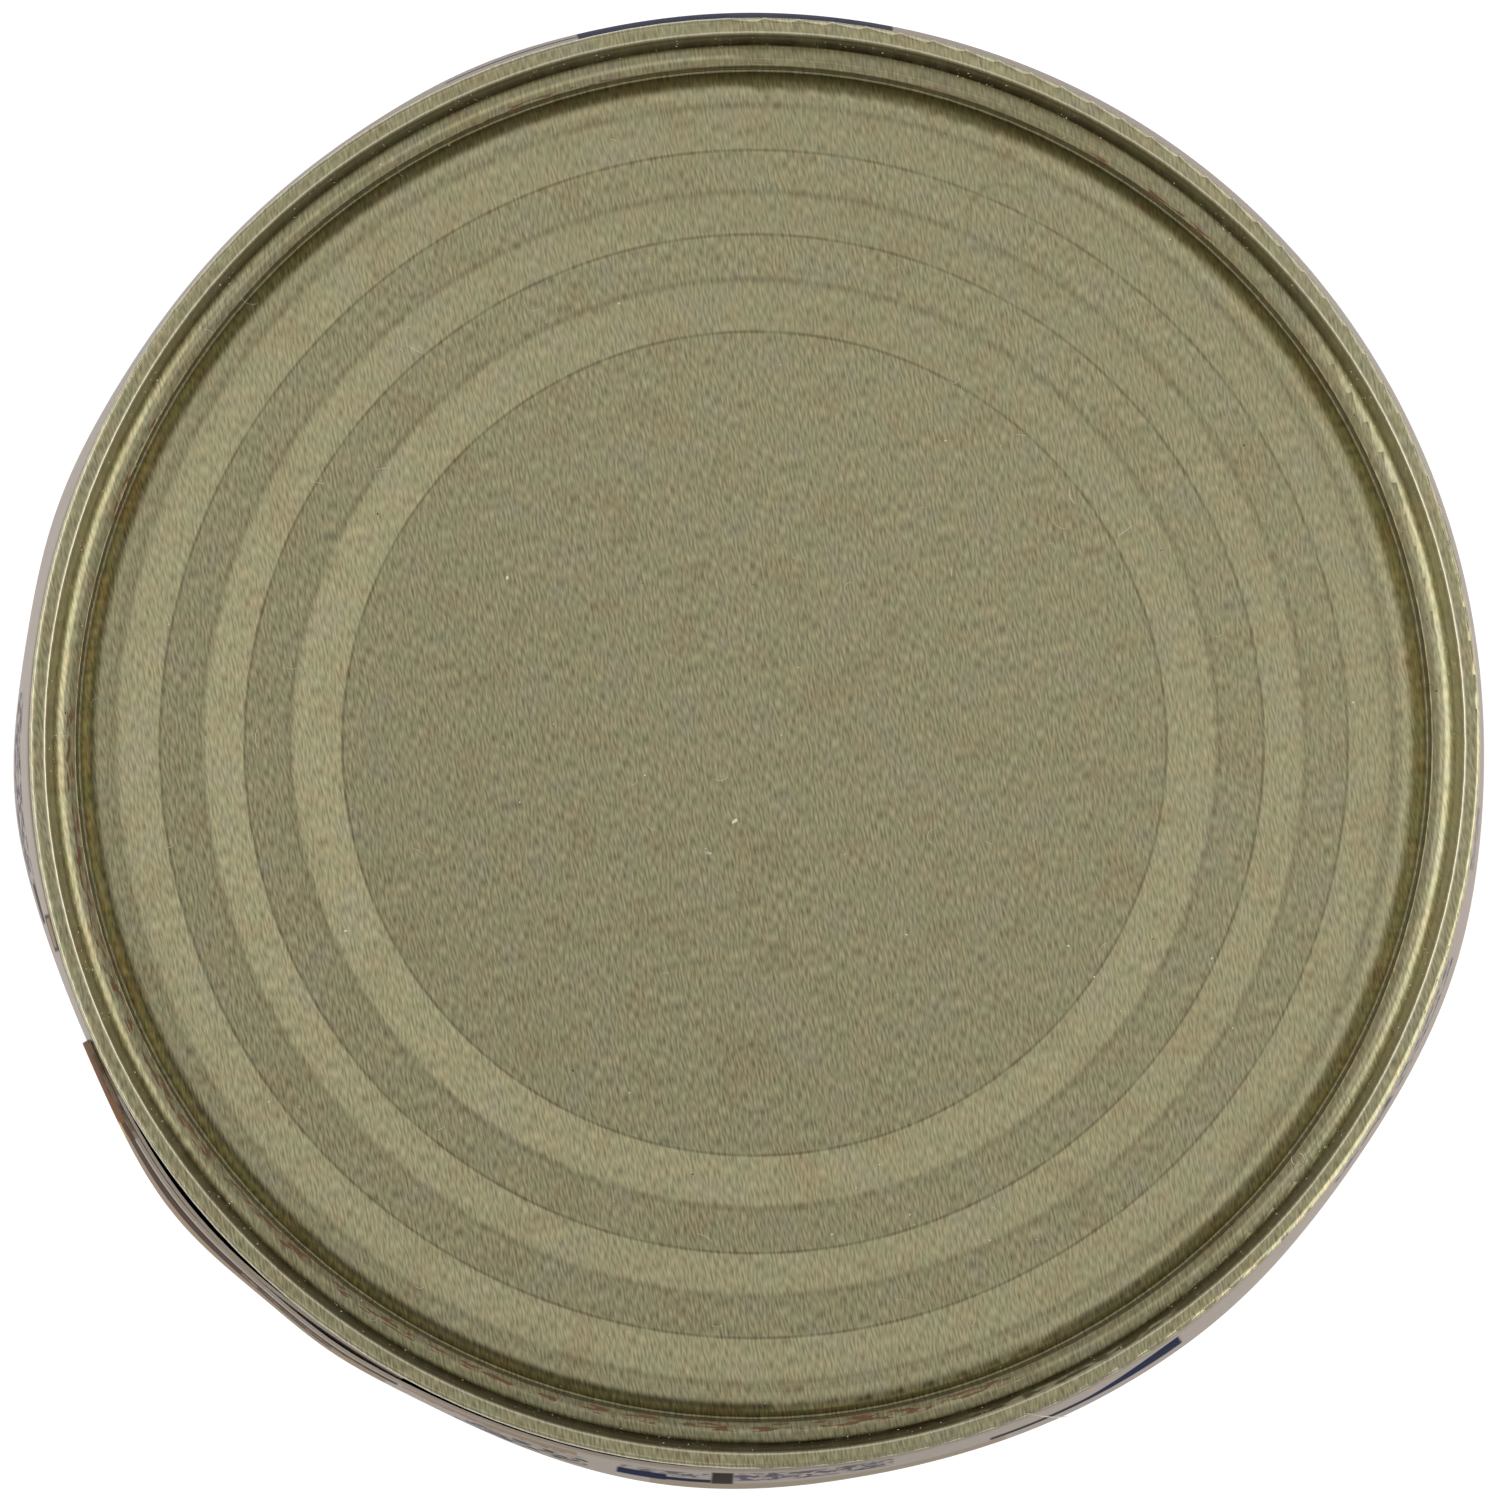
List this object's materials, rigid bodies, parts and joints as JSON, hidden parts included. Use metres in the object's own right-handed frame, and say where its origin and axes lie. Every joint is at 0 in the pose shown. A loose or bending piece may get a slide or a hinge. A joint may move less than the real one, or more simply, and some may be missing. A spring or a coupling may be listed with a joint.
{
  "type": "shut tin of chickpeas",
  "caption": "Shut cylindrical food tin of chickpeas with seamed ends, stepped expansion rings and a loose plain paper label round a necked body.",
  "frame": {"origin": "centre of the crest of the lower seam, on the surface that the tin stands on", "axes": "+Z up along the tin's axis, out of the end that is shown; +X to the right and +Y up as that end is seen from straight above"},
  "size_m": [0.0741, 0.0744, 0.11],
  "materials": {
    "tinplate": "olive-grey brushed tinplate with a soft sheen, fine straight grain, specks of dust and a little rust",
    "body_steel": "plain satin tinplate, seen only at the necks",
    "label_paper": "thin coated label paper with a soft sheen, pale mauve-white with dark blue and tan fields of print"
  },
  "bodies": {
    "root": {"end_top": "tinplate", "body": "body_steel", "end_bottom": "tinplate", "label": "label_paper"}
  },
  "joints": []
}
